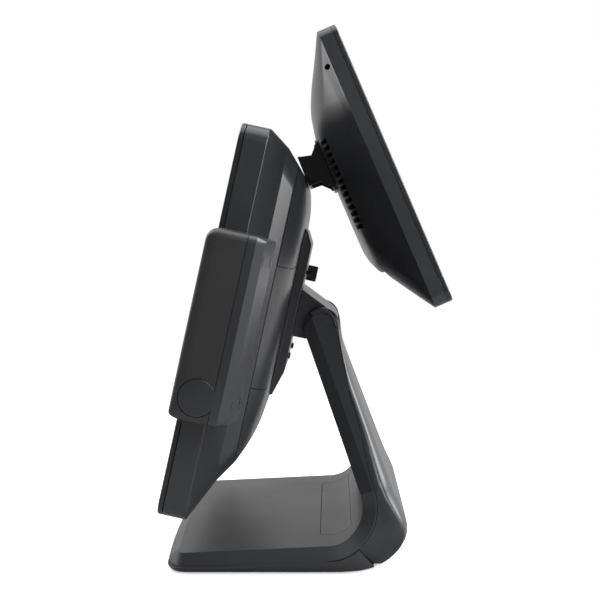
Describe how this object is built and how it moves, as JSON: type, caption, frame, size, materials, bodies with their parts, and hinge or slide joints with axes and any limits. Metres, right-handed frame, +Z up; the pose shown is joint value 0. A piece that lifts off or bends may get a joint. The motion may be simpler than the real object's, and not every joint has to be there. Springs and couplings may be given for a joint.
{
  "type": "pos touchscreen terminal",
  "caption": "Countertop point-of-sale terminal: tilting touchscreen head on an L-shaped stand, side card-swipe reader and tilting rear customer display.",
  "frame": {"origin": "centre of the bounding box's footprint, on the counter under the rubber feet", "axes": "+Z up; -Y towards the operator, who faces the main screen; +Y towards the customer; +X to the side that carries the swipe reader"},
  "size_m": [0.402, 0.2338, 0.4341],
  "materials": {
    "black_plastic": "fine spark-textured black moulding",
    "black_metal": "black powder coat",
    "zinc_steel": "zinc-plated sheet",
    "black_rubber": "moulded rubber",
    "touch_glass": "glossy, dark when off",
    "lcd_module": "dark framed module",
    "circuit_board": "green solder mask",
    "aluminium": "bare"
  },
  "bodies": {
    "stand": {"stand_front_shell": "black_plastic", "column_rear_cover": "black_plastic", "base_bottom_tray": "black_plastic", "base_weight_plate": "zinc_steel", "rubber_foot_1": "black_rubber", "rubber_foot_2": "black_rubber", "rubber_foot_3": "black_rubber", "rubber_foot_4": "black_rubber", "base_screw_1": "black_metal", "base_screw_2": "black_metal", "base_screw_3": "black_metal", "base_screw_4": "black_metal", "column_spine": "zinc_steel", "hinge_ear_left": "zinc_steel", "hinge_ear_right": "zinc_steel", "friction_washer_left": "zinc_steel", "friction_washer_right": "zinc_steel"},
    "cable_cover": {"cable_cover": "black_plastic"},
    "head": {"front_bezel": "black_plastic", "touch_glass": "touch_glass", "lcd_panel": "lcd_module", "chassis_frame": "zinc_steel", "rear_housing": "black_plastic", "upper_rear_cover": "black_plastic", "middle_rear_cover": "black_plastic", "hinge_boss_cover": "black_plastic", "boss_screw_1": "black_metal", "boss_screw_2": "black_metal", "tilt_bracket": "zinc_steel", "hinge_hood": "black_plastic", "hinge_shaft": "zinc_steel", "main_board": "circuit_board", "heatsink": "aluminium", "memory_module": "circuit_board", "solid_state_drive": "aluminium", "speaker_left": "lcd_module", "speaker_right": "lcd_module", "port_block": "aluminium", "reader_front_shell": "black_plastic", "reader_rear_shell": "black_plastic", "reader_round_cap": "black_plastic", "reader_board": "circuit_board", "read_head": "aluminium", "arm_bracket": "black_metal"},
    "lower_cover": {"lower_rear_cover": "black_plastic"},
    "thumbscrew": {"thumbscrew": "black_metal"},
    "power_button": {"power_button": "black_plastic"},
    "display": {"display_knuckle": "black_metal", "display_hinge_pin": "zinc_steel", "knuckle_screw_1": "black_metal", "knuckle_screw_2": "black_metal", "knuckle_screw_3": "black_metal", "knuckle_screw_4": "black_metal", "display_bezel": "black_plastic", "display_glass": "touch_glass", "display_lcd": "lcd_module", "display_board": "circuit_board", "display_rear_housing": "black_plastic"}
  },
  "joints": [
    {"name": "head_tilt", "type": "hinge", "parent": "stand", "child": "head", "pos_m": [-0.019, 0.01392, 0.19088], "axis": [1, 0, 0], "range_deg": [-33, 12]},
    {"name": "display_tilt", "type": "hinge", "parent": "head", "child": "display", "pos_m": [-0.019, 0.0081, 0.326], "axis": [1, 0, 0], "range_deg": [-15, 15]},
    {"name": "thumbscrew_spin", "type": "hinge", "parent": "head", "child": "thumbscrew", "pos_m": [-0.019, -0.00018, 0.23488], "axis": [0, 0.977, -0.213], "continuous": true},
    {"name": "power_button_press", "type": "slide", "parent": "head", "child": "power_button", "axis": [0, 0.213, 0.977], "range_m": [0, 0.0012], "stiffness_N_per_m": 300, "springref_m": -0.002},
    {"name": "cable_cover_lift", "type": "slide", "parent": "stand", "child": "cable_cover", "axis": [0, 0, 1], "range_m": [0, 0.03]},
    {"name": "lower_cover_slide", "type": "slide", "parent": "head", "child": "lower_cover", "axis": [0, -0.213, -0.977], "range_m": [0, 0.025]}
  ]
}
